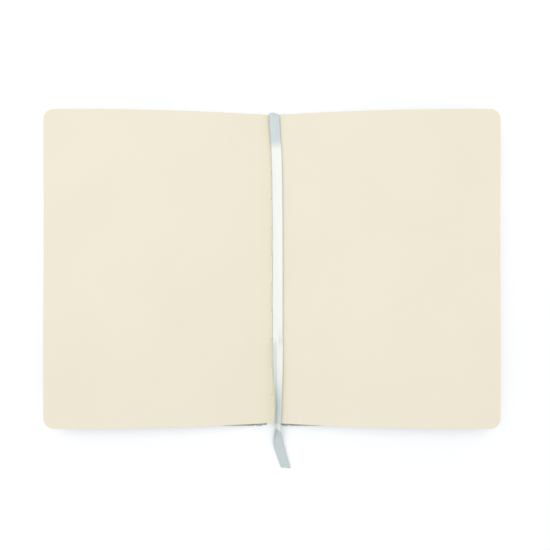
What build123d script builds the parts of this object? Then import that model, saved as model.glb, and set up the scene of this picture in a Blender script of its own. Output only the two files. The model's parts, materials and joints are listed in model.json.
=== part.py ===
from build123d import *
import os
from math import radians, tan

# An A5 casebound sketchbook, lying open at the middle of its centre section.
# +X runs right across the spread, +Y to the head, +Z up from the table.
# The origin is on the table, under the middle of the case. The block is drawn about its own middle.

os.makedirs("parts", exist_ok=True)

# ---- leaves and sections, millimetres throughout ----
leaf_width = 150.0
leaf_height = 210.0
leaf_corner = 6.8
leaf_thickness = 0.15
side_sections = 2  # whole sections lying on each side of the centre one
section_leaves = 8
centre_leaves = 4  # half of the centre section, on each side of the fold
section_width = 1.6  # of one section's back, across the spine
section_clearance = 0.04

# ---- case ----
board_thickness = 2.0
board_square = 1.8  # how far the boards stand past the leaves at head, tail and fore-edge
block_offset = 0.75  # how much nearer the head than the tail the block is glued in
board_corner = 7.5
spine_width = 12.0
spine_strip_thickness = 1.0
groove_width = 6.0  # bare cloth between the hinge line and a board
cloth_thickness = 0.25
turn_in = 14.0  # cloth folded onto the inside of a board
paste_line = 0.03
pastedown_margin = 3.5  # cloth left showing round the pastedown
endpaper_thickness = 0.18
cloth_split = 0.1  # clearance at each hinge line of the cloth
strip_setback = 2.0  # how far the spine strip stops short of the leaves at head and tail
notch_width = 7.6  # the cloth is cut back between the two joints at head and tail
notch_corner = 1.0

# ---- spine of the block ----
hollow_gap = 0.9  # free space between the spine strip and the lined backs
lining_thickness = 0.15
mull_thickness = 0.2
mull_margin = 15.0  # bare backs above and below the gauze
centre_fold_height = 1.7  # from the gauze up to the bottom of the opening
station_pitch = 19.0
station_count = 10
thread_radius = 0.25
thread_clearance = 0.08

# ---- lie of the open leaves ----
page_rise = 10.6  # from the centre fold up to the top page at the fore-edge
rise_power = 2.2
rise_share = 0.9  # part of the width over which the page still climbs
root_reach = 9.4  # distance from the fold at which a sheet becomes a stiff leaf
root_clearance = 0.12
lowest_root = 1.9  # height of the lowest sheet where it crosses the cloth groove
lying_clearance = 0.12
board_shoulder = 1.5  # strip of board at the groove that the pastedown leaves bare

# ---- ribbon ----
ribbon_width = 7.0
ribbon_thickness = 0.3

# ---- heights built up from the table ----
case_bottom = cloth_thickness + paste_line
strip_top = case_bottom + spine_strip_thickness
lining_bottom = strip_top + hollow_gap
mull_bottom = lining_bottom + lining_thickness
backs_bottom = mull_bottom + mull_thickness
fold_top = backs_bottom + centre_fold_height
board_top = case_bottom + board_thickness
pastedown_bottom = board_top + cloth_thickness + 2 * paste_line
pastedown_top = pastedown_bottom + endpaper_thickness
leaf_floor = pastedown_top + lying_clearance

hinge_x = spine_width / 2
board_inner = hinge_x + groove_width
board_outer = leaf_width + board_square
board_height = leaf_height + 2 * board_square
case_height = board_height + 2 * (cloth_thickness + paste_line)
side_sheets = side_sections * section_leaves + centre_leaves + 1  # and one flyleaf
block_width = (2 * side_sections + 1) * section_width


def save(part, label):
    """Label a finished piece, drawn about the middle of the block, and write it to its own file."""
    placed = part.moved(Location((0, block_offset, 0)))
    placed.label = label
    export_step(placed, f"parts/{label}.step")


def page_top(x):
    """Height of the uppermost page at a distance x from the fold: it climbs, then lies level."""
    climb = min(x / (rise_share * leaf_width), 1)
    return fold_top + page_rise * (1 - (1 - climb) ** rise_power)


def stack_floor(x):
    """Height of the lowest sheet, which steps up out of the cloth groove onto the pastedown."""
    step = min(max((x - root_reach) / (board_inner + board_shoulder - root_reach), 0), 1)
    return lowest_root + (leaf_floor - lowest_root) * step * step * (3 - 2 * step)


def sheet_bottom(index, x):
    """Underside of a sheet; 0 is the flyleaf and the sheets fan out evenly up to the top page."""
    return stack_floor(x) + (page_top(x) - stack_floor(x)) * index / side_sheets


level_from = board_inner + board_shoulder
climbing = [root_reach + (level_from - root_reach) * k / 3 for k in range(4)]
lying = [level_from + (leaf_width - level_from) * (k / 7) ** 2.1 for k in range(1, 8)]
leaf_stations = climbing + lying


def leaf(index, side):
    """Draw one stiff leaf in the part being built: a thin curved strip with rounded outer corners."""
    bottom = [(side * x, sheet_bottom(index, x)) for x in leaf_stations]
    top = [(x, z + leaf_thickness) for x, z in bottom]
    with BuildSketch(Plane.XZ, mode=Mode.PRIVATE) as profile:
        with BuildLine():
            Spline(*bottom)
            Line(bottom[-1], top[-1])
            Spline(*reversed(top))
            Line(top[0], bottom[0])
        make_face()
    with BuildSketch(mode=Mode.PRIVATE) as outline:
        with Locations((side * leaf_width / 2, 0)):
            Rectangle(leaf_width, leaf_height)
        outer = outline.vertices().group_by(Axis.X)[-1 if side > 0 else 0]
        fillet(outer, radius=leaf_corner)
    with BuildPart(mode=Mode.PRIVATE) as one:
        extrude(profile.sketch, amount=leaf_height / 2, both=True)
        extrude(outline.sketch, amount=fold_top + 2 * page_rise, mode=Mode.INTERSECT)
    return one.part


def stack(label, side, indices):
    """Several leaves that lie together on one side, each its own solid."""
    leaves = [leaf(index, side) for index in indices]
    save(Compound(children=leaves) if len(leaves) > 1 else leaves[0], label)


def plate(side, inner, outer, height, corner):
    """Sketch a board-shaped outline on one side, rounded at the two fore-edge corners."""
    with Locations((side * (inner + outer) / 2, -block_offset)):
        Rectangle(outer - inner, height)
    fillet(vertices().group_by(Axis.X)[-1 if side > 0 else 0], radius=corner)


# ---- the case: two boards, a spine strip and the cloth that joins them ----
for side, name in ((-1, "front"), (1, "back")):
    with BuildPart() as board:
        with BuildSketch(Plane.XY.offset(case_bottom)):
            plate(side, board_inner, board_outer, board_height, board_corner)
        extrude(amount=board_thickness)
    save(board.part, f"{name}_board")

    wrap = cloth_thickness + paste_line
    cloth_corner = board_corner + wrap
    with BuildPart() as cover_cloth:
        with BuildSketch():
            plate(side, hinge_x + cloth_split, board_outer + wrap, case_height, cloth_corner)
        extrude(amount=board_top + wrap)
        with BuildSketch(Plane.XY.offset(cloth_thickness)):
            pocket_corner = board_corner + paste_line
            plate(side, hinge_x, board_outer + paste_line, board_height + 2 * paste_line, pocket_corner)
        extrude(amount=board_thickness + 2 * paste_line, mode=Mode.SUBTRACT)
        with BuildSketch(Plane.XY.offset(cloth_thickness)):
            plate(side, 0, board_outer - turn_in, board_height - 2 * turn_in, board_corner)
        extrude(amount=board_top + wrap, mode=Mode.SUBTRACT)
        with BuildSketch(Plane.XY.offset(cloth_thickness)):
            with Locations((side * board_inner / 2, 0)):
                Rectangle(board_inner, 2 * case_height)
        extrude(amount=board_top + wrap, mode=Mode.SUBTRACT)
    save(cover_cloth.part, f"{name}_cloth")

    with BuildPart() as pastedown:
        with BuildSketch(Plane.XY.offset(pastedown_bottom)):
            reach = board_outer - pastedown_margin
            tall = board_height - 2 * pastedown_margin
            plate(side, board_inner + board_shoulder, reach, tall, board_corner - pastedown_margin)
        extrude(amount=endpaper_thickness)
    save(pastedown.part, f"{name}_pastedown")

with BuildPart() as spine_strip:
    with BuildSketch(Plane.XY.offset(case_bottom)):
        Rectangle(spine_width, leaf_height - 2 * strip_setback)
    extrude(amount=spine_strip_thickness)
save(spine_strip.part, "spine_strip")

notch_level = leaf_height / 2 - strip_setback / 2
with BuildPart() as spine_cloth:
    with BuildSketch():
        with Locations((0, -block_offset)):
            Rectangle(spine_width, case_height)
        for end in (1, -1):
            with Locations((0, end * (notch_level + case_height / 2))):
                RectangleRounded(notch_width, case_height, notch_corner, mode=Mode.SUBTRACT)
    extrude(amount=cloth_thickness)
save(spine_cloth.part, "spine_cloth")

# ---- the leaves, from the flyleaves up to the opening ----
for side, name, first, step in ((-1, "front", 1, 1), (1, "back", 2 * side_sections + 1, -1)):
    stack(f"{name}_flyleaf", side, [0])
    for k in range(side_sections):
        start = 1 + k * section_leaves
        stack(f"section_{first + k * step}_leaves", side, range(start, start + section_leaves))

for side, name in ((-1, "left"), (1, "right")):
    for k in range(centre_leaves):
        stack(f"{name}_leaf_{k + 1}", side, [side_sheets - 1 - k])

# ---- the backs of the sections, with the roots of their sheets bending out to each side ----
root_end = root_reach - root_clearance


def back_edge(count, x):
    """The line between two neighbouring backs: up from the gauze, then out to the leaves."""
    leaf_level = sheet_bottom(count, root_reach) - section_clearance / 2
    shoulder = backs_bottom + 0.4 * max(leaf_level - backs_bottom, 0.3)
    return [(x, backs_bottom), (x, shoulder), (root_end, leaf_level)]


for side, first, step in ((-1, 1, 1), (1, 2 * side_sections + 1, -1)):
    for k in range(side_sections):
        outer_x = block_width / 2 - k * section_width
        inner_x = outer_x - section_width + section_clearance
        under = back_edge(k * section_leaves + (1 if k else 0), outer_x)
        over = back_edge((k + 1) * section_leaves + 1, inner_x)
        over = [(x, z - section_clearance) if i else (x, z) for i, (x, z) in enumerate(over)]
        with BuildPart() as section_back:
            with BuildSketch(Plane.XZ):
                with BuildLine():
                    Polyline(*[(side * x, z) for x, z in under + over[::-1]], close=True)
                make_face()
            extrude(amount=leaf_height / 2, both=True)
        save(section_back.part, f"section_{first + k * step}_back")

middle = side_sections + 1
centre_edge = back_edge(side_sections * section_leaves + 1, section_width / 2)
crest = page_top(root_reach) - section_clearance
half_way = root_end / 2
half_outline = [*centre_edge, (root_end, crest), (half_way, page_top(half_way)), (0, fold_top)]
first_station = -station_pitch * (station_count - 1) / 2
stations = [first_station + station_pitch * k for k in range(station_count)]
with BuildPart() as centre_back:
    with BuildSketch(Plane.XZ):
        with BuildLine():
            Polyline(*half_outline, *[(-x, z) for x, z in half_outline[-2::-1]], close=True)
        make_face()
    extrude(amount=leaf_height / 2, both=True)
    with BuildSketch(Plane.XY.offset(backs_bottom)):
        with Locations(*[(0, y) for y in stations]):
            Circle(thread_radius + thread_clearance)
    extrude(amount=centre_fold_height + page_rise, mode=Mode.SUBTRACT)
save(centre_back.part, f"section_{middle}_back")

# ---- what holds the backs together ----
with BuildPart() as lining:
    with BuildSketch(Plane.XY.offset(lining_bottom)):
        Rectangle(block_width, leaf_height)
    extrude(amount=lining_thickness)
save(lining.part, "spine_lining")

with BuildPart() as mull:
    with BuildSketch(Plane.XY.offset(mull_bottom)):
        Rectangle(block_width, leaf_height - 2 * mull_margin)
    extrude(amount=mull_thickness)
save(mull.part, "mull")

# Each visible stitch lies along the fold between two stations and goes down through both.
stitch_level = fold_top + 2 * thread_radius
with BuildPart() as thread:
    for near, far in zip(stations[::2], stations[1::2]):
        corners = [
            (0, near, backs_bottom),
            (0, near, stitch_level),
            (0, far, stitch_level),
            (0, far, backs_bottom),
        ]
        with BuildLine() as run:
            FilletPolyline(*corners, radius=2 * thread_radius)
        with BuildSketch(Plane(corners[0], z_dir=(0, 0, 1))):
            Circle(thread_radius)
        sweep(path=run.wires()[0])
save(thread.part, "sewing_thread")

# ---- the ribbon, glued into the hollow at the head, laid down the opening and out at the tail ----
ribbon_points = [
    (1.6, 97.0, 1.53),
    (1.6, 107.0, 1.55),
    (1.6, 106.8, 6.30),
    (1.6, 98.5, 6.15),
    (3.0, 83.0, 5.95),
    (3.7, 52.0, 6.05),
    (3.9, -6.0, 5.95),
    (3.8, -58.0, 6.05),
    (3.3, -90.0, 5.95),
    (2.6, -107.5, 5.60),
    (3.3, -117.0, 3.00),
    (5.4, -126.0, 1.20),
    (9.2, -138.0, 0.55),
]
runs = [Vector(b) - Vector(a) for a, b in zip(ribbon_points, ribbon_points[1:])]
radii = []
for before, after in zip(runs, runs[1:]):
    half_turn = radians(before.get_angle(after)) / 2
    radii.append(0.45 * min(before.length, after.length) / tan(half_turn))

with BuildPart() as ribbon:
    with BuildLine() as route:
        FilletPolyline(*ribbon_points, radius=radii)
    with BuildSketch(Plane(ribbon_points[0], x_dir=(1, 0, 0), z_dir=runs[0])):
        Rectangle(ribbon_width, ribbon_thickness)
    sweep(path=route.wires()[0])
save(ribbon.part, "ribbon")

ribbon_length = route.wires()[0].length
print("ribbon radii", [round(r, 1) for r in radii])
print("ribbon length", round(ribbon_length, 1), "volume", round(ribbon.part.volume, 1))
print("section times length", round(ribbon_width * ribbon_thickness * ribbon_length, 1))
print("fold", round(fold_top, 2), "top page at the fore-edge", round(page_top(leaf_width), 2))
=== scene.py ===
import json
import math

import bpy
import numpy as np
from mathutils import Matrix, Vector


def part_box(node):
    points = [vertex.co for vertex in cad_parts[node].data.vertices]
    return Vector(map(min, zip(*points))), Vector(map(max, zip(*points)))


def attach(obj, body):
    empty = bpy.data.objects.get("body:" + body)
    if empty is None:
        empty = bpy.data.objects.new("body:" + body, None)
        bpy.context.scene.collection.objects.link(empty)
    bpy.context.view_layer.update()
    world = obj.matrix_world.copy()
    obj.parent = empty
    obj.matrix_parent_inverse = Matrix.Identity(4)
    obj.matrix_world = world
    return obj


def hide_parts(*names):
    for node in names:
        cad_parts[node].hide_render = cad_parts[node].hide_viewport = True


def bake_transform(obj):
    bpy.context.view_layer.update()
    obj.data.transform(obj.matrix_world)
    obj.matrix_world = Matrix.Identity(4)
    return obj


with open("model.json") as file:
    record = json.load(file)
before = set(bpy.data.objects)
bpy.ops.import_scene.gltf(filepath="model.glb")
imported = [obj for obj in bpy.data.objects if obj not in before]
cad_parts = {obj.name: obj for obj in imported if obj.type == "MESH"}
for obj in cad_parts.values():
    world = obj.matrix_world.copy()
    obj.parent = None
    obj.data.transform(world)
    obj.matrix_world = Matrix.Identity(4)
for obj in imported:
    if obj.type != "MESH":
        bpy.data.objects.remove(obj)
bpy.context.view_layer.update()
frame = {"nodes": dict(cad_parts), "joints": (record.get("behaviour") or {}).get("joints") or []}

# ---- camera ----
# It hangs over the spread, looking straight down, close enough that the gutter looks shorter than
# the fore-edges.
CAMERA_HEIGHT = 0.250  # above the top page
CAMERA_ASIDE, CAMERA_BACK = 0.0020, -0.0033
page_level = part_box("left_leaf_1")[1][2]
camera_data = bpy.data.cameras.new("overhead")
camera_data.sensor_width = 36.0
camera_data.lens = 24.94
camera = bpy.data.objects.new("overhead", camera_data)
bpy.context.scene.collection.objects.link(camera)
camera.location = (CAMERA_ASIDE, CAMERA_BACK, page_level + CAMERA_HEIGHT)
bpy.context.scene.camera = camera

# ---- ribbon ----
# A satin ribbon, woven, 7 mm wide. It is glued into the hollow of the spine at the head, folds
# over the head edge, lies down the opening and comes out at the tail, where its cut end rests on
# the table.
RIBBON_WIDTH = 0.007
RIBBON_THICKNESS = 0.00025
BLOCK_MIDDLE = (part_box("left_leaf_1")[0][1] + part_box("left_leaf_1")[1][1]) / 2
ribbon_points = [
    (0.0016, 0.0970, 0.00153),
    (0.0016, 0.1070, 0.00155),
    (0.0016, 0.1068, 0.00630),
    (0.0016, 0.0985, 0.00615),
    (0.0030, 0.0830, 0.00595),
    (0.0037, 0.0520, 0.00605),
    (0.0039, -0.0060, 0.00595),
    (0.0038, -0.0580, 0.00605),
    (0.0033, -0.0900, 0.00595),
    (0.0026, -0.1065, 0.00570),
    (0.0028, -0.1100, 0.00420),
    (0.0034, -0.1170, 0.00230),
    (0.0054, -0.1260, 0.00095),
    (0.0092, -0.1375, 0.00032),
]
ribbon_route = [(x, y + BLOCK_MIDDLE, z) for x, y, z in ribbon_points]


def new_piece(name, vertices, faces):
    """A mesh object in the scene, shaded smooth except across its sharp edges."""
    mesh = bpy.data.meshes.new(name)
    mesh.from_pydata([tuple(v) for v in vertices], [], [tuple(f) for f in faces])
    mesh.update()
    mesh.polygons.foreach_set("use_smooth", [True] * len(mesh.polygons))
    mesh.set_sharp_from_angle(angle=math.radians(45))
    piece = bpy.data.objects.new(name, mesh)
    bpy.context.scene.collection.objects.link(piece)
    return piece


def route_points(points):
    """Closely spaced points along the smooth curve that a ribbon takes between its bends."""
    curve = bpy.data.curves.new("route", "CURVE")
    curve.dimensions = "3D"
    curve.resolution_u = 24
    spline = curve.splines.new("NURBS")
    spline.points.add(len(points) - 1)
    for place, point in zip(spline.points, points):
        place.co = (*point, 1.0)
    spline.order_u = 3
    spline.use_endpoint_u = True
    holder = bpy.data.objects.new("route", curve)
    mesh = bpy.data.meshes.new_from_object(holder)
    found = np.array([v.co for v in mesh.vertices])
    bpy.data.objects.remove(holder)
    bpy.data.curves.remove(curve)
    bpy.data.meshes.remove(mesh)
    return found


def smoothstep(low, high, value):
    share = np.clip((value - low) / (high - low), 0, 1)
    return share * share * (3 - 2 * share)


# Stations down the ribbon, from the middle of the leaf's height. Two thirds of the way down it
# folds lengthwise along a soft crease, and stays narrow until it opens out past the tail edge.
CREASE_BEGINS = -0.044
CREASE_SET = -0.050
CREASE_FULL = -0.098
TAIL_EDGE = -0.107
OPEN_AGAIN = -0.122
CREASE = -0.25  # where the crease lies, as a share of half the width
CREASE_HEIGHT = 0.00065
CUP = 0.0003  # how far the edges of the flat ribbon curl
HEAD_FOLD = 0.100
CAP_SLANT = 0.0013
CUT_SLANT = 0.0012
ACROSS = 14


def crease_share(y):
    """How far the ribbon is folded lengthwise."""
    early = 0.3 * smoothstep(CREASE_BEGINS, CREASE_SET, y)
    folded = early + 0.7 * smoothstep(CREASE_SET, CREASE_FULL, y)
    return folded * (1 - 0.75 * smoothstep(TAIL_EDGE, OPEN_AGAIN, y))


def sheen_shade_share(y, share, out_of_hollow):
    """How much of the ribbon's sage shows: painted shade at the head, in the fold and on the tail,
    painted sheen between.
    """
    # Painted shade where the ribbon slopes over the head, in the lengthwise fold, at the crease's
    # dent and past the tail edge; where it is zero the pale painted sheen shows.
    sage = smoothstep(0.080, 0.088, y) * out_of_hollow + (1 - out_of_hollow)
    under = 0.5 * smoothstep(-0.045, -0.054, y) + 0.5 * smoothstep(-0.070, -0.092, y)
    above = 0.55 * smoothstep(-0.072, -0.094, y)
    dent = 0.45 * math.exp(-(((y + 0.0485) / 0.003) ** 2)) * smoothstep(0, 0.4, share)
    shaded = max(under if share < CREASE else above, dent) * (1 - smoothstep(-0.104, -0.106, y))
    tail = 1.1 * smoothstep(-0.1088, -0.1098, y)
    return float(min(1.1, max(sage, shaded, tail)))


ribbon_line = route_points(ribbon_route)
ribbon_steps = np.linalg.norm(np.diff(ribbon_line, axis=0), axis=1)
ribbon_along = np.concatenate([[0], np.cumsum(ribbon_steps)])
ribbon_vertices = []
ribbon_sheen_shade = []
for i, centre in enumerate(ribbon_line):
    ahead = ribbon_line[min(i + 1, len(ribbon_line) - 1)] - ribbon_line[max(i - 1, 0)]
    ahead = Vector(ahead).normalized()
    level = Vector((1, 0, 0)) - ahead * ahead.x
    level.normalize()
    up = ahead.cross(level) if ahead.y > 0 else level.cross(ahead)
    y = centre[1] - BLOCK_MIDDLE
    folded = crease_share(y)
    flat = smoothstep(0.092, 0.07, y) * (1 - smoothstep(-0.04, CREASE_SET, y))
    lean = math.radians(-10 * flat)
    outer = lean + math.radians(-46 * folded)
    inner = lean + math.radians(70 * folded)
    out_of_hollow = smoothstep(0.012, 0.030, ribbon_along[i])
    ripple = 0.00010 * math.sin(y * 190) + 0.00006 * math.sin(y * 431 + 1.3)
    for k in range(ACROSS + 1):
        share = 2 * k / ACROSS - 1
        turn = inner if share < CREASE else outer
        reach = (share - CREASE) * RIBBON_WIDTH / 2
        aside = CREASE * RIBBON_WIDTH / 2 * (1 - folded) + reach * math.cos(turn)
        lift = reach * math.sin(turn) + CREASE_HEIGHT * folded
        curl = CUP * (share * share - 0.4) * out_of_hollow * (1 - folded)
        cup = curl + ripple * share * out_of_hollow
        place = Vector(centre) + level * aside + up * (lift + cup)
        if y > HEAD_FOLD and ribbon_along[i] < 0.030:
            slant = CAP_SLANT * max(0, share - CREASE) + 0.0007 * max(0, CREASE - share)
            place.y -= slant * smoothstep(HEAD_FOLD, 0.106, y)
        if y < -0.118:
            place.y -= CUT_SLANT * share * smoothstep(-0.118, -0.138, y)
        place.z = max(place.z, RIBBON_THICKNESS / 2)
        ribbon_vertices.append(place)
        ribbon_sheen_shade.append(sheen_shade_share(y, share, out_of_hollow))
ribbon_faces = []
for i in range(len(ribbon_line) - 1):
    for k in range(ACROSS):
        a, b = i * (ACROSS + 1) + k, (i + 1) * (ACROSS + 1) + k
        ribbon_faces.append((a, a + 1, b + 1, b))
ribbon = new_piece("ribbon_satin", ribbon_vertices, ribbon_faces)
# This attribute carries that mask: painted satin sheen where it is low, the ribbon's own sage and
# painted shade where it is high.
ribbon.data.attributes.new("sheen_and_shade", "FLOAT", "POINT").data.foreach_set("value", ribbon_sheen_shade)
thicken = ribbon.modifiers.new("thickness", "SOLIDIFY")
thicken.thickness = RIBBON_THICKNESS
thicken.offset = 0.0


def new_material(name):
    """A node material with its Principled BSDF, ready for wiring."""
    material = bpy.data.materials.new(name)
    material.use_nodes = True
    return material, material.node_tree, material.node_tree.nodes["Principled BSDF"]


def add(tree, kind, **settings):
    """A node of that kind, with its settings."""
    node = tree.nodes.new(kind)
    for key, value in settings.items():
        setattr(node, key, value)
    return node


def group_with(name, inputs, outputs):
    """An empty node group with named sockets: its tree, input node and output node."""
    tree = bpy.data.node_groups.new(name, "ShaderNodeTree")
    for label, kind, value in inputs:
        socket = tree.interface.new_socket(label, in_out="INPUT", socket_type=kind)
        if value is not None:
            socket.default_value = value
    for label, kind in outputs:
        tree.interface.new_socket(label, in_out="OUTPUT", socket_type=kind)
    return tree, add(tree, "NodeGroupInput"), add(tree, "NodeGroupOutput")


WAVE_PER_THREAD = 0.1592  # texture scale for one thread; each wave is two, one over and one under


def weave_group():
    """Crossing threads: a height over the surface, and a mask of the gaps between threads."""
    tree, given, out = group_with(
        "weave",
        [("Threads per metre", "NodeSocketFloat", 2500.0), ("Unevenness", "NodeSocketFloat", 0.15)],
        [("Height", "NodeSocketFloat"), ("Gaps", "NodeSocketFloat")],
    )
    place = add(tree, "ShaderNodeTexCoord")
    wobble = add(tree, "ShaderNodeTexNoise")
    wobble.inputs["Scale"].default_value = 300.0
    tree.links.new(place.outputs["Object"], wobble.inputs["Vector"])
    waves = []
    for axis in ("X", "Y"):
        wave = add(tree, "ShaderNodeTexWave", wave_type="BANDS", bands_direction=axis)
        wave.inputs["Distortion"].default_value = 0.4
        wave.inputs["Detail"].default_value = 1.0
        scale = add(tree, "ShaderNodeMath", operation="MULTIPLY")
        scale.inputs[1].default_value = WAVE_PER_THREAD
        tree.links.new(given.outputs["Threads per metre"], scale.inputs[0])
        tree.links.new(scale.outputs[0], wave.inputs["Scale"])
        tree.links.new(place.outputs["Object"], wave.inputs["Vector"])
        waves.append(wave)
    crossing = add(tree, "ShaderNodeMath", operation="MULTIPLY")
    tree.links.new(waves[0].outputs["Fac"], crossing.inputs[0])
    tree.links.new(waves[1].outputs["Fac"], crossing.inputs[1])
    uneven = add(tree, "ShaderNodeMath", operation="MULTIPLY_ADD")
    tree.links.new(wobble.outputs["Fac"], uneven.inputs[0])
    tree.links.new(given.outputs["Unevenness"], uneven.inputs[1])
    tree.links.new(crossing.outputs[0], uneven.inputs[2])
    gaps = add(tree, "ShaderNodeMath", operation="SUBTRACT", use_clamp=True)
    gaps.inputs[0].default_value = 1.0
    tree.links.new(uneven.outputs[0], gaps.inputs[1])
    tree.links.new(uneven.outputs[0], out.inputs["Height"])
    tree.links.new(gaps.outputs[0], out.inputs["Gaps"])
    return tree


weave = weave_group()


def place_group(tree, group, **values):
    """That group in a material, with its own values."""
    node = add(tree, "ShaderNodeGroup")
    node.node_tree = group
    for key, value in values.items():
        node.inputs[key.replace("_", " ")].default_value = value
    return node


def mix(tree, factor, low, high):
    """A colour between low and high by the factor socket."""
    node = add(tree, "ShaderNodeMix", data_type="RGBA")
    node.inputs["A"].default_value = (*low, 1)
    node.inputs["B"].default_value = (*high, 1)
    tree.links.new(factor, node.inputs["Factor"])
    return node.outputs["Result"]


def bump(tree, shader, height, strength, distance):
    """Relief on a shader from a height socket."""
    node = add(tree, "ShaderNodeBump")
    node.inputs["Strength"].default_value = strength
    node.inputs["Distance"].default_value = distance
    tree.links.new(height, node.inputs["Height"])
    tree.links.new(node.outputs["Normal"], shader.inputs["Normal"])


def satin_material():
    """Pale sage satin: fine threads, a soft gloss, a painted sheen along its middle, and its own
    sage with painted shade at the two ends.
    """
    material, tree, shader = new_material("satin_sage")
    place = add(tree, "ShaderNodeTexCoord")
    sheen_and_shade = add(tree, "ShaderNodeAttribute", attribute_name="sheen_and_shade")
    streaks = add(tree, "ShaderNodeTexNoise")
    streaks.inputs["Scale"].default_value = 60.0
    stretch = add(tree, "ShaderNodeMapping")
    stretch.inputs["Scale"].default_value = (40.0, 1.0, 1.0)
    tree.links.new(place.outputs["Object"], stretch.inputs["Vector"])
    tree.links.new(stretch.outputs["Vector"], streaks.inputs["Vector"])
    # The near-white colour is a painted satin sheen; the sage is the ribbon's own colour, darkened
    # beyond it as painted shade.
    colour = mix(tree, sheen_and_shade.outputs["Fac"], (0.80, 0.805, 0.765), (0.52, 0.60, 0.585))
    toned = add(tree, "ShaderNodeMix", data_type="RGBA", blend_type="MULTIPLY")
    toned.inputs["Factor"].default_value = 0.12
    tree.links.new(colour, toned.inputs["A"])
    tree.links.new(streaks.outputs["Fac"], toned.inputs["B"])
    tree.links.new(toned.outputs["Result"], shader.inputs["Base Color"])
    shader.inputs["Roughness"].default_value = 0.38
    shader.inputs["Specular IOR Level"].default_value = 0.5
    shader.inputs["Sheen Weight"].default_value = 0.2
    shader.inputs["Sheen Roughness"].default_value = 0.4
    threads = place_group(tree, weave, Threads_per_metre=5200.0, Unevenness=0.2)
    bump(tree, shader, threads.outputs["Height"], 0.35, 0.00003)
    return material


ribbon.data.materials.append(satin_material())
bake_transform(ribbon)
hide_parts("ribbon")

# ---- leaves ----
# Ivory uncoated drawing paper, sewn in sections of four folded sheets. Each leaf leaves its fold
# steeply, levels off towards the fore-edge, and the sheets spring a little apart as they lie open.
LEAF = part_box("left_leaf_1")
LEAF_WIDTH = -LEAF[0][0]
LEAF_HALF = LEAF[1][1] - BLOCK_MIDDLE
LEAF_CORNER = 0.0068
PAPER = 0.00015
SIDE_SHEETS = 21
SECTION_LEAVES = 8
CENTRE_LEAVES = 4
SECTION_BACK = 0.0016
ROOT = 0.0094  # distance from the fold where a leaf's bending root ends
ROWS = 44
FOLD = next(j for j in frame["joints"] if j["name"] == "left_leaf_1_turn")["pos_m"][2]
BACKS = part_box("mull")[1][2]
PAGE_RISE = 0.0106
CLIMB = 0.9
CLIMB_POWER = 2.2
LOWEST_ROOT = 0.0019
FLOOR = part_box("front_pastedown")[1][2] + 0.00012
LEVEL_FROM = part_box("back_board")[0][0] + 0.0015


def page_top(x):
    """Height of the uppermost page at a distance from the fold: it climbs, then lies level."""
    climb = np.clip(x / (CLIMB * LEAF_WIDTH), 0, 1)
    return FOLD + PAGE_RISE * (1 - (1 - climb) ** CLIMB_POWER)


def sheet_level(index, x):
    """Underside of a sheet beyond its root; 0 is the flyleaf, and the rest fan out above it."""
    floor = LOWEST_ROOT + (FLOOR - LOWEST_ROOT) * smoothstep(ROOT, LEVEL_FROM, x)
    return floor + (page_top(x) - floor) * index / SIDE_SHEETS


def outward_stations():
    """Distances beyond the root: wider apart further out, then close round the outer corner."""
    lying = ROOT + (LEAF_WIDTH - LEAF_CORNER - ROOT) * np.linspace(0, 1, 30)[1:] ** 1.35
    corner_turns = np.linspace(0, math.pi / 2, 9)[1:]
    return [*lying, *(LEAF_WIDTH - LEAF_CORNER + LEAF_CORNER * np.sin(corner_turns))]


def leaf_half_height(x):
    """Half the height of a leaf at a distance from the fold, less where its corner is rounded."""
    past = np.clip(x - (LEAF_WIDTH - LEAF_CORNER), 0, LEAF_CORNER)
    return LEAF_HALF - (LEAF_CORNER - np.sqrt(LEAF_CORNER**2 - past**2))


def undulation(x, y, index):
    """How far paper lies off a true curve: a slow wave in common, a slight one of its own."""
    slack = smoothstep(0.02, LEAF_WIDTH, x)
    shared = 0.00028 * math.sin(31 * y + 0.6) * math.cos(23 * x)
    own = 0.00007 * math.sin(47 * y + 2.1 * index) * math.cos(29 * x + index)
    return slack * (shared + own)


def sheet_faces(side, base, columns, rows):
    """Faces that close two skins of columns by rows into one sheet, from vertex number base."""
    layer = columns * rows
    faces = []

    def quad(*corners):
        faces.append(corners if side > 0 else corners[::-1])

    for i in range(columns - 1):
        for row in range(rows - 1):
            a = base + i * rows + row
            quad(a, a + 1, a + rows + 1, a + rows)
            a += layer
            quad(a, a + rows, a + rows + 1, a + 1)
    for i in range(columns - 1):
        a = base + i * rows
        quad(a, a + rows, a + rows + layer, a + layer)
        a += rows - 1
        quad(a, a + layer, a + rows + layer, a + rows)
    for row in range(rows - 1):
        a = base + row
        quad(a, a + layer, a + layer + 1, a + 1)
        a += (columns - 1) * rows
        quad(a, a + 1, a + layer + 1, a + layer)
    return faces


def leaf_mesh(side, path, index, vertices, faces):
    """Add one closed sheet of paper to the lists, along a path of (distance, height)."""
    faces += sheet_faces(side, len(vertices), len(path), ROWS + 1)
    for skin in (0, 1):
        for x, z in path:
            half = leaf_half_height(x)
            for row in range(ROWS + 1):
                y = half * (2 * row / ROWS - 1)
                height = z + skin * PAPER + undulation(x, y, index)
                vertices.append((side * x, y + BLOCK_MIDDLE, height))


def sheet_path(index, leg, foot):
    """Path of a sewn sheet: up its leg from the fold, over its root, and on to the fore-edge."""
    least_rise = 0.0004
    root_level = sheet_level(index, ROOT)
    rise = max(least_rise, 0.35 * (root_level - BACKS))
    slope = sheet_level(index, ROOT + 0.001) - root_level
    start, end = Vector((leg, foot, 0)), Vector((ROOT, root_level, 0))
    lift = Vector((leg + 0.0002, foot + 2.2 * rise, 0))
    arrive = end - Vector((0.0035, 3.5 * slope, 0))
    path = []
    for t in np.linspace(0, 1, 12)[:-1]:
        u = 1 - t
        p = start * u**3 + lift * 3 * t * u**2 + arrive * 3 * t * t * u + end * t**3
        path.append((p.x, p.y))
    path.append((ROOT, root_level))
    path += [(x, float(sheet_level(index, x))) for x in outward_stations()]
    return path


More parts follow.
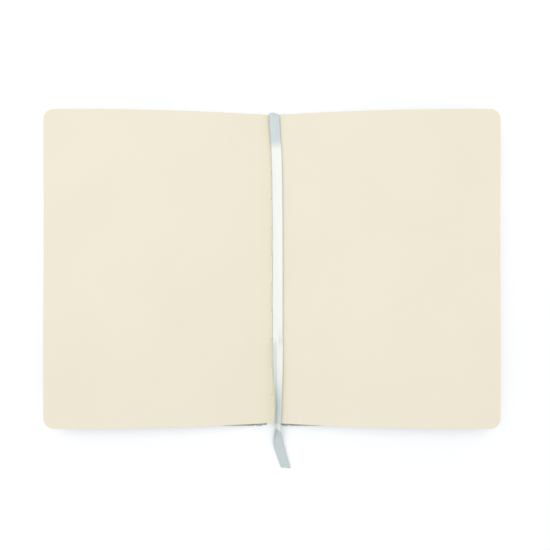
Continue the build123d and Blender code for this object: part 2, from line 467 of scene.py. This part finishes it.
def fibre_group():
    """Uncoated paper: a felt-side tooth and a faint cloudiness in how the pulp settled."""
    tree, given, out = group_with(
        "paper_fibre",
        [("Tooth per metre", "NodeSocketFloat", 1400.0)],
        [("Tooth", "NodeSocketFloat"), ("Cloud", "NodeSocketFloat")],
    )
    place = add(tree, "ShaderNodeTexCoord")
    tooth = add(tree, "ShaderNodeTexNoise")
    tooth.inputs["Detail"].default_value = 6.0
    tooth.inputs["Roughness"].default_value = 0.65
    tree.links.new(given.outputs["Tooth per metre"], tooth.inputs["Scale"])
    cloud = add(tree, "ShaderNodeTexNoise")
    cloud.inputs["Scale"].default_value = 22.0
    cloud.inputs["Detail"].default_value = 3.0
    for texture in (tooth, cloud):
        tree.links.new(place.outputs["Object"], texture.inputs["Vector"])
    tree.links.new(tooth.outputs["Fac"], out.inputs["Tooth"])
    tree.links.new(cloud.outputs["Fac"], out.inputs["Cloud"])
    return tree


fibre = fibre_group()


def paper_material(name, dark, light, tooth=1400.0, relief=0.25):
    """Uncoated paper of two close tones."""
    material, tree, shader = new_material(name)
    pulp = place_group(tree, fibre, Tooth_per_metre=tooth)
    tree.links.new(mix(tree, pulp.outputs["Cloud"], dark, light), shader.inputs["Base Color"])
    shader.inputs["Roughness"].default_value = 0.85
    shader.inputs["Specular IOR Level"].default_value = 0.25
    bump(tree, shader, pulp.outputs["Tooth"], relief, 0.00004)
    return material


ivory = paper_material("paper_ivory", (0.725, 0.665, 0.535), (0.755, 0.700, 0.565))


def section_paper(section, side, first):
    """The eight leaves of a section that lies whole on one side, with its folds."""
    vertices, faces = [], []
    for k in range(SECTION_LEAVES):
        index = first + k
        nest = min(k, SECTION_LEAVES - 1 - k)
        middle = abs(section - 3) * SECTION_BACK
        leg = middle - (k - 3.5) * (SECTION_BACK - PAPER) / SECTION_LEAVES
        foot = BACKS + 0.00005 + nest * (PAPER + 0.00003)
        path = sheet_path(index, leg, foot)
        path.insert(0, (middle, foot - 0.00002))
        leaf_mesh(side, path, index, vertices, faces)
    paper = new_piece(f"section_{section}_paper", vertices, faces)
    paper.data.materials.append(ivory)
    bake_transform(paper)
    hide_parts(f"section_{section}_leaves", f"section_{section}_back")


for section, side, first in ((1, -1, 1), (2, -1, 9), (5, 1, 1), (4, 1, 9)):
    section_paper(section, side, first)

# ---- centre section ----
# Four folded sheets that open flat at their middle: eight leaves that turn over the fold, and the
# folds themselves, pierced by the sewing stations.
LEAF_START = 0.0079  # a turning leaf begins here, on the end of its own root


def centre_level(depth, x):
    """Height of a folded sheet of the centre section near the fold; depth 0 is the innermost."""
    foot = FOLD - 0.00012 - depth * (PAPER + 0.00004)
    index = SIDE_SHEETS - 1 - depth
    share = smoothstep(0, 1, x / ROOT) ** 0.75
    straight = foot + (sheet_level(index, ROOT) - foot) * x / ROOT
    eased = foot + (sheet_level(index, ROOT) - foot) * share
    return 0.65 * straight + 0.35 * eased


for side, name in ((-1, "left"), (1, "right")):
    for k in range(CENTRE_LEAVES):
        index = SIDE_SHEETS - 1 - k
        root = np.linspace(LEAF_START, ROOT, 7)
        path = [(x, float(centre_level(k, x))) for x in root]
        path += [(x, float(sheet_level(index, x))) for x in outward_stations()]
        vertices, faces = [], []
        leaf_mesh(side, path, index, vertices, faces)
        page = new_piece(f"{name}_leaf_{k + 1}_paper", vertices, faces)
        page.data.materials.append(ivory)
        cover = "front_cover" if side < 0 else "back_cover"
        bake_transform(page)
        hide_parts(f"{name}_leaf_{k + 1}")

STATION_PITCH = 0.019
STATIONS = [(k - 4.5) * STATION_PITCH + BLOCK_MIDDLE for k in range(10)]


def root_mesh(side, depth, vertices, faces):
    """Add one sheet's root: from its fold out to where the turning leaf lies on the end of it."""
    across = np.linspace(0, ROOT, 20)
    rows = np.linspace(-LEAF_HALF, LEAF_HALF, ROWS + 1) + BLOCK_MIDDLE
    faces += sheet_faces(side, len(vertices), len(across), len(rows))
    for skin in (0, 1):
        for x in across:
            sink = 0.00004 * smoothstep(LEAF_START - 0.0008, LEAF_START, x)
            z = centre_level(depth, x) - sink
            vertices.extend((side * x, y, z + skin * PAPER) for y in rows)


# A slightly darker, yellower copy of the ivory paper, laid on the roots by the fold as mild painted
# gutter shade.
gutter_shade_paper = paper_material("paper_fold_shade", (0.720, 0.665, 0.520), (0.750, 0.695, 0.555))
for side, name, cover in ((-1, "left", "front_cover"), (1, "right", "back_cover")):
    vertices, faces = [], []
    for depth in range(CENTRE_LEAVES):
        root_mesh(side, depth, vertices, faces)
    roots = new_piece(f"section_3_{name}_roots", vertices, faces)
    roots.data.materials.append(gutter_shade_paper)
    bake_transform(roots)
    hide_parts("section_3_back")

# ---- sewing thread ----
# Waxed two-ply linen thread. It runs along the fold between pairs of stations, and dives through
# the sheets at both ends of each stitch.
THREAD = 0.00022


def twisted_run(near, far, vertices, faces):
    """Add one stitch of twisted thread, along the fold and down at both ends."""
    level = FOLD + 0.00022
    drop = 0.0009
    bend = 0.0006
    line = [(near, level - drop)]
    for t in np.linspace(0, math.pi / 2, 5):
        line.append((near + bend * (1 - math.cos(t)), level - bend * (1 - math.sin(t))))
    line += [(near + (far - near) * s, level) for s in np.linspace(0.06, 0.94, 40)]
    for t in np.linspace(0, math.pi / 2, 5):
        line.append((far - bend * (1 - math.sin(t)), level - bend * (1 - math.cos(t))))
    line.append((far, level - drop))
    base = len(vertices)
    around = 10
    for i, (y, z) in enumerate(line):
        before = Vector(line[max(i - 1, 0)])
        after = Vector(line[min(i + 1, len(line) - 1)])
        ahead = (after - before).normalized()
        for k in range(around):
            angle = 2 * math.pi * k / around
            radius = THREAD * (0.86 + 0.14 * abs(math.cos(angle + i * 0.9)))
            rise = radius * math.sin(angle)
            vertices.append((radius * math.cos(angle), y - ahead.y * rise, z + ahead.x * rise))
    for i in range(len(line) - 1):
        for k in range(around):
            a, b = base + i * around + k, base + i * around + (k + 1) % around
            faces.append((a, b, b + around, a + around))
    faces.append([base + k for k in range(around)][::-1])
    faces.append([base + (len(line) - 1) * around + k for k in range(around)])


vertices, faces = [], []
for near, far in zip(STATIONS[::2], STATIONS[1::2]):
    twisted_run(near, far, vertices, faces)
thread = new_piece("sewing_thread_twist", vertices, faces)
waxed = paper_material("thread_waxed", (0.80, 0.76, 0.66), (0.88, 0.85, 0.77), 6000.0, 0.4)
thread.data.materials.append(waxed)
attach(thread, "book_block")
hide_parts("sewing_thread")

# Each station is a hole pricked through the fold, slightly torn open by the needle.
HOLE = 0.00038
HOLE_ASIDE = -0.0001
HOLE_SIDES = 14
vertices, faces = [], []
for number, y in enumerate(STATIONS):
    base = len(vertices)
    vertices.append((HOLE_ASIDE, y, FOLD + 0.00006))
    for k in range(HOLE_SIDES):
        angle = 2 * math.pi * k / HOLE_SIDES
        radius = HOLE * (1 + 0.18 * math.sin(3 * angle + number))
        x = HOLE_ASIDE + radius * math.cos(angle)
        z = centre_level(0, abs(x)) + PAPER + 0.00002
        vertices.append((x, y + 1.25 * radius * math.sin(angle), z))
    for k in range(HOLE_SIDES):
        faces.append((base, base + 1 + k, base + 1 + (k + 1) % HOLE_SIDES))
pricks = new_piece("sewing_holes", vertices, faces)
hole_shade = paper_material("hole_shade", (0.36, 0.33, 0.26), (0.44, 0.40, 0.32))
pricks.data.materials.append(hole_shade)
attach(pricks, "book_block")

# ---- endpapers ----
# Heavier cream paper. On each side a pastedown is glued inside the board, and a flyleaf is sewn
# in beside it.
endpaper = paper_material("endpaper_cream", (0.73, 0.69, 0.58), (0.77, 0.73, 0.62), 900.0, 0.3)
for side, name in ((-1, "front"), (1, "back")):
    frame["nodes"][f"{name}_pastedown"].data.materials[0] = endpaper
    vertices, faces = [], []
    leaf_mesh(side, sheet_path(0, 0.0041, BACKS + 0.0001), 0, vertices, faces)
    flyleaf = new_piece(f"{name}_flyleaf_paper", vertices, faces)
    flyleaf.data.materials.append(endpaper)
    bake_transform(flyleaf)
    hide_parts(f"{name}_flyleaf")

# ---- boards and spine strip ----
# Grey pulp board, die-cut: two stiff boards and a thin strip between them, hidden by the cloth
# outside and the pastedowns inside.
grey_board = paper_material("board_grey", (0.42, 0.41, 0.39), (0.52, 0.51, 0.48), 500.0, 0.5)
for node in ("front_board", "back_board", "spine_strip"):
    frame["nodes"][node].data.materials[0] = grey_board

# ---- cover cloth ----
# Dusty sage book cloth on paper backing, glued round the boards and turned in at the edges, and
# pressed up into a groove along each side of the spine.
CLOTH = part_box("front_cloth")
CLOTH_OUT = -CLOTH[0][0]
CLOTH_HALF = CLOTH[1][1]
CLOTH_TOP = CLOTH[1][2]
CLOTH_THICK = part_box("spine_cloth")[1][2]
CLOTH_CORNER = 0.00778
HINGE = -CLOTH[1][0]
BOARD_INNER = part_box("back_board")[0][0]
EDGE_ROUND = 0.00055
TURN_IN = 0.014
TURN_IN_BEVEL = 0.0002
LEAST_CORNER = 0.0008
GROOVE_HEIGHT = 0.0011
JOINT_LAP = 0.0012
TURNED_END = 0.0012  # extra height where the groove's ends are turned in


def cloth_material(name, worn_edges):
    """Fine cloth: crossing threads and a dusty bloom, its edges paler where they are worn."""
    material, tree, shader = new_material(name)
    threads = place_group(tree, weave, Threads_per_metre=1900.0, Unevenness=0.35)
    base = mix(tree, threads.outputs["Gaps"], (0.262, 0.315, 0.262), (0.175, 0.215, 0.180))
    dust = add(tree, "ShaderNodeTexNoise")
    dust.inputs["Scale"].default_value = 35.0
    dust.inputs["Detail"].default_value = 5.0
    place = add(tree, "ShaderNodeTexCoord")
    tree.links.new(place.outputs["Object"], dust.inputs["Vector"])
    shade = add(tree, "ShaderNodeMix", data_type="RGBA", blend_type="MULTIPLY")
    shade.inputs["Factor"].default_value = 0.25
    tree.links.new(base, shade.inputs["A"])
    tree.links.new(mix(tree, dust.outputs["Fac"], (0.7, 0.7, 0.7), (1, 1, 1)), shade.inputs["B"])
    finish = shade.outputs["Result"]
    if worn_edges:
        edge = add(tree, "ShaderNodeNewGeometry")
        worn = add(tree, "ShaderNodeMapRange")
        worn.inputs["From Min"].default_value = 0.52
        worn.inputs["From Max"].default_value = 0.62
        tree.links.new(edge.outputs["Pointiness"], worn.inputs["Value"])
        paler = add(tree, "ShaderNodeMix", data_type="RGBA")
        paler.inputs["B"].default_value = (0.40, 0.45, 0.39, 1)
        tree.links.new(worn.outputs["Result"], paler.inputs["Factor"])
        tree.links.new(finish, paler.inputs["A"])
        finish = paler.outputs["Result"]
    tree.links.new(finish, shader.inputs["Base Color"])
    shader.inputs["Roughness"].default_value = 0.8
    shader.inputs["Sheen Weight"].default_value = 0.25
    bump(tree, shader, threads.outputs["Height"], 0.5, 0.00006)
    return material


sage = cloth_material("cloth_sage", worn_edges=True)


def board_outline(side, inset, inner):
    """Points round three sides of a covered board, that far inside its edge, spine to spine."""
    radius = max(CLOTH_CORNER - inset, LEAST_CORNER)
    right, top = CLOTH_OUT - inset, CLOTH_HALF - inset
    corner_x, corner_y = right - radius, top - radius
    points = [(x, -top) for x in np.linspace(inner, corner_x, 12)]
    for t in np.linspace(-math.pi / 2, 0, 10)[1:]:
        points.append((corner_x + radius * math.cos(t), -top + radius + radius * math.sin(t)))
    points += [(right, y) for y in np.linspace(-top + radius, corner_y, 14)[1:-1]]
    for t in np.linspace(0, math.pi / 2, 10):
        points.append((corner_x + radius * math.cos(t), corner_y + radius * math.sin(t)))
    points += [(x, top) for x in np.linspace(corner_x, inner, 12)[1:]]
    return [(side * x, y) for x, y in points]


def cover_skin(side, name):
    """Cloth round one board: the flat outside, rounded edges, and the turn-ins."""
    section = [(0.004, 0.0)]
    for t in np.linspace(0, math.pi / 2, 5):
        section.append((EDGE_ROUND * (1 - math.sin(t)), EDGE_ROUND * (1 - math.cos(t))))
    for t in np.linspace(0, math.pi / 2, 5):
        drop = EDGE_ROUND * (1 - math.sin(t))
        section.append((EDGE_ROUND * (1 - math.cos(t)), CLOTH_TOP - drop))
    section += [(TURN_IN - TURN_IN_BEVEL, CLOTH_TOP), (TURN_IN, CLOTH_TOP - CLOTH_THICK)]
    inner = BOARD_INNER + 0.0002
    vertices, faces = [], []
    rings = [[(x, y, z) for x, y in board_outline(side, inset, inner)] for inset, z in section]
    for ring in rings:
        vertices += ring
    n = len(rings[0])

    def quad(*corners):
        faces.append(corners if side < 0 else corners[::-1])

    for r in range(len(rings) - 1):
        for k in range(n - 1):
            a = r * n + k
            quad(a, a + n, a + n + 1, a + 1)
    quad(*range(n))
    skin = new_piece(name, vertices, faces)
    crisp = skin.modifiers.new("crisp edges", "EDGE_SPLIT")
    crisp.split_angle = math.radians(60)
    return skin


def joint_cloth(side, name):
    """Cloth pressed up into the groove between a board and the spine, its ends turned over."""
    across = np.linspace(HINGE, BOARD_INNER + JOINT_LAP, 15)
    length = np.linspace(-CLOTH_HALF, CLOTH_HALF, 41)
    vertices = []
    for skin in (0, 1):
        for x in across:
            over = math.sin(math.pi * min((x - HINGE) / (BOARD_INNER - HINGE), 1)) ** 0.8
            for y in length:
                # The turned-in ends are layered, and stand higher than the rest of the groove.
                turned = TURNED_END * smoothstep(LEAF_HALF, LEAF_HALF + 0.0012, abs(y))
                arch = (GROOVE_HEIGHT + turned) * over
                crease = 0.00006 * math.sin(140 * y) * arch / GROOVE_HEIGHT
                vertices.append((side * x, y, arch + crease + skin * CLOTH_THICK * 0.98))
    return new_piece(name, vertices, sheet_faces(side, 0, len(across), len(length)))


for side, name in ((-1, "front"), (1, "back")):
    skin = cover_skin(side, f"{name}_cover_cloth")
    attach(skin, f"{name}_cover")
    skin.data.materials.append(sage)
    joint = joint_cloth(side, f"{name}_joint_cloth")
    joint.data.materials.append(sage)
    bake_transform(joint)
    for piece in (skin, joint):
        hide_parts(f"{name}_cloth")
spine_sage = cloth_material("cloth_sage_spine", worn_edges=False)
frame["nodes"]["spine_cloth"].data.materials[0] = spine_sage

# ---- spine linings ----
# Open-weave gauze and kraft paper, glued one over the other on the folded backs of the sections.
gauze, tree, shader = new_material("gauze_open")
threads = place_group(tree, weave, Threads_per_metre=900.0, Unevenness=0.2)
netting = mix(tree, threads.outputs["Gaps"], (0.80, 0.78, 0.70), (0.55, 0.52, 0.44))
tree.links.new(netting, shader.inputs["Base Color"])
shader.inputs["Roughness"].default_value = 0.9
bump(tree, shader, threads.outputs["Height"], 0.6, 0.0001)
frame["nodes"]["mull"].data.materials[0] = gauze
kraft = paper_material("lining_kraft", (0.52, 0.42, 0.30), (0.60, 0.50, 0.37), 800.0, 0.4)
frame["nodes"]["spine_lining"].data.materials[0] = kraft

# ---- table and light ----
# A plain white table that the case lies on, lit by one large soft panel overhead and by an even
# white surround.
SPAN = 3.0
TABLE_TOP = -0.0002
table_mesh = bpy.data.meshes.new("table")
table_corners = [(x * SPAN, y * SPAN, TABLE_TOP) for x, y in ((-1, -1), (1, -1), (1, 1), (-1, 1))]
table_mesh.from_pydata(table_corners, [], [(0, 1, 2, 3)])
table = bpy.data.objects.new("table", table_mesh)
bpy.context.scene.collection.objects.link(table)
white, tree, shader = new_material("table_white")
shader.inputs["Base Color"].default_value = (0.90, 0.91, 0.925, 1)
shader.inputs["Roughness"].default_value = 0.9
table.data.materials.append(white)

bpy.context.scene.view_settings.view_transform = "Standard"
world = bpy.data.worlds.new("studio")
world.use_nodes = True
surround = world.node_tree.nodes["Background"]
surround.inputs["Color"].default_value = (0.97, 0.985, 1.0, 1)
surround.inputs["Strength"].default_value = 0.86
bpy.context.scene.world = world
panel_data = bpy.data.lights.new("panel", "AREA")
panel_data.shape = "RECTANGLE"
panel_data.size = 1.2
panel_data.size_y = 1.0
panel_data.energy = 6.0
panel = bpy.data.objects.new("panel", panel_data)
bpy.context.scene.collection.objects.link(panel)
panel.location = (-0.12, 0.30, 1.1)
panel.rotation_euler = (-Vector(panel.location)).to_track_quat("-Z", "Y").to_euler()
